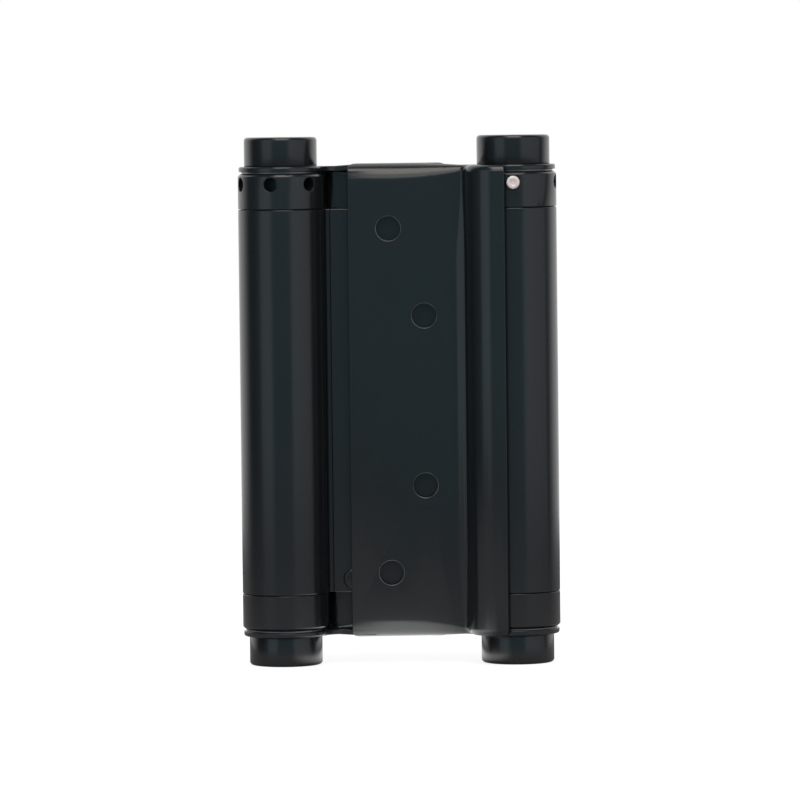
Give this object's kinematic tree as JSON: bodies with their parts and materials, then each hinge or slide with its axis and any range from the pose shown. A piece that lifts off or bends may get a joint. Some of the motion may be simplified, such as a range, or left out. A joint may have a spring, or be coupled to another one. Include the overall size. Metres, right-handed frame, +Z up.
{
  "type": "double action cafe hinge",
  "caption": "Double action spring hinge for a light swing door: a door leaf and a jamb leaf on two sprung barrels joined by a web, black, with tension collars and pins.",
  "frame": {"origin": "middle of the hinge: half way between the two barrels, at half height and half depth, folded flat", "axes": "+Z up along the barrels, +X from the jamb leaf's barrel to the door leaf's barrel, -Y towards the door leaf's screw face"},
  "size_m": [0.0675, 0.021, 0.112],
  "materials": {
    "leaf_paint": "semi-gloss black enamel on drawn steel sheet",
    "web_paint": "semi-gloss black enamel on rolled steel sheet",
    "collar_paint": "semi-gloss black enamel on turned steel",
    "cap_paint": "semi-gloss black enamel, faint turning lines",
    "pin_plate": "bright nickel plate",
    "spring_steel": "oiled spring steel",
    "spindle_steel": "bright drawn steel",
    "washer_steel": "blackened steel"
  },
  "bodies": {
    "jamb": {"jamb_leaf": "leaf_paint", "spindle_left": "spindle_steel", "end_cap_top_left": "cap_paint", "end_cap_bottom_left": "cap_paint", "thrust_washer_top_left": "washer_steel", "thrust_washer_bottom_left": "washer_steel"},
    "web": {"web_sheet_left": "web_paint", "web_sheet_right": "web_paint", "web_rivets": "web_paint", "fixed_collar_left": "collar_paint", "fixed_collar_right": "collar_paint", "spring_left": "spring_steel", "spring_right": "spring_steel"},
    "door": {"door_leaf": "leaf_paint", "spindle_right": "spindle_steel", "end_cap_top_right": "cap_paint", "end_cap_bottom_right": "cap_paint", "thrust_washer_top_right": "washer_steel", "thrust_washer_bottom_right": "washer_steel"},
    "collar_left": {"tension_collar_left": "collar_paint", "tension_pin_left": "pin_plate"},
    "collar_right": {"tension_collar_right": "collar_paint", "tension_pin_right": "pin_plate"}
  },
  "joints": [
    {"name": "jamb_swing", "type": "hinge", "parent": "jamb", "child": "web", "pos_m": [-0.02465, 0, 0], "axis": [0, 0, -1], "range_deg": [0, 180], "stiffness_Nm_per_rad": 0.45, "deforming": ["spring_left"]},
    {"name": "door_swing", "type": "hinge", "parent": "web", "child": "door", "pos_m": [0.02465, 0, 0], "axis": [0, 0, 1], "range_deg": [0, 180], "stiffness_Nm_per_rad": 0.45, "springref_deg": -57.3, "deforming": ["spring_right"]},
    {"name": "left_collar_winding", "type": "hinge", "parent": "jamb", "child": "collar_left", "pos_m": [-0.02465, 0, 0], "axis": [0, 0, 1], "range_deg": [-32.5, 147.5], "stiffness_Nm_per_rad": 0.04},
    {"name": "right_collar_winding", "type": "hinge", "parent": "door", "child": "collar_right", "pos_m": [0.02465, 0, 0], "axis": [0, 0, 1], "range_deg": [0, 180], "stiffness_Nm_per_rad": 0.04, "springref_deg": -57.3}
  ]
}
